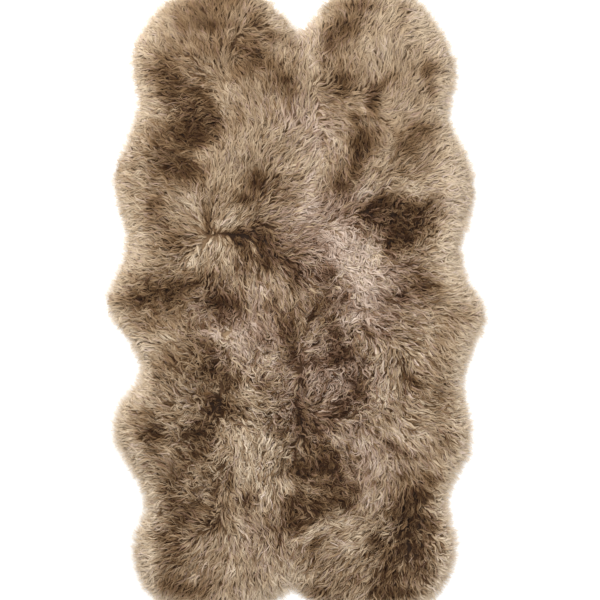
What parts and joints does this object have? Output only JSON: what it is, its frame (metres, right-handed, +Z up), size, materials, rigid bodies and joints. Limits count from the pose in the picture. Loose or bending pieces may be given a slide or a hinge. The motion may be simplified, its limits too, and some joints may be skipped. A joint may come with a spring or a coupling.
{
  "type": "sheepskin rug",
  "caption": "Long-wool sheepskin rug of whole pelts sewn side by side and end to end, with a wavy natural outline, laid flat.",
  "frame": {"origin": "middle of the rug, on the floor it lies on", "axes": "+Z up out of the wool, +Y along the length of the rug to the end at the top of the picture, +X across it to the picture's right"},
  "size_m": [1.1164, 1.859, 0.0651],
  "materials": {
    "wool_top_left": "matte taupe-brown wool",
    "wool_top_right": "matte taupe-brown wool",
    "wool_bottom_left": "matte taupe-brown wool",
    "wool_bottom_right": "matte taupe-brown wool"
  },
  "bodies": {
    "root": {"pelt_top_left": "wool_top_left", "pelt_top_right": "wool_top_right", "pelt_bottom_left": "wool_bottom_left", "pelt_bottom_right": "wool_bottom_right"}
  },
  "joints": []
}
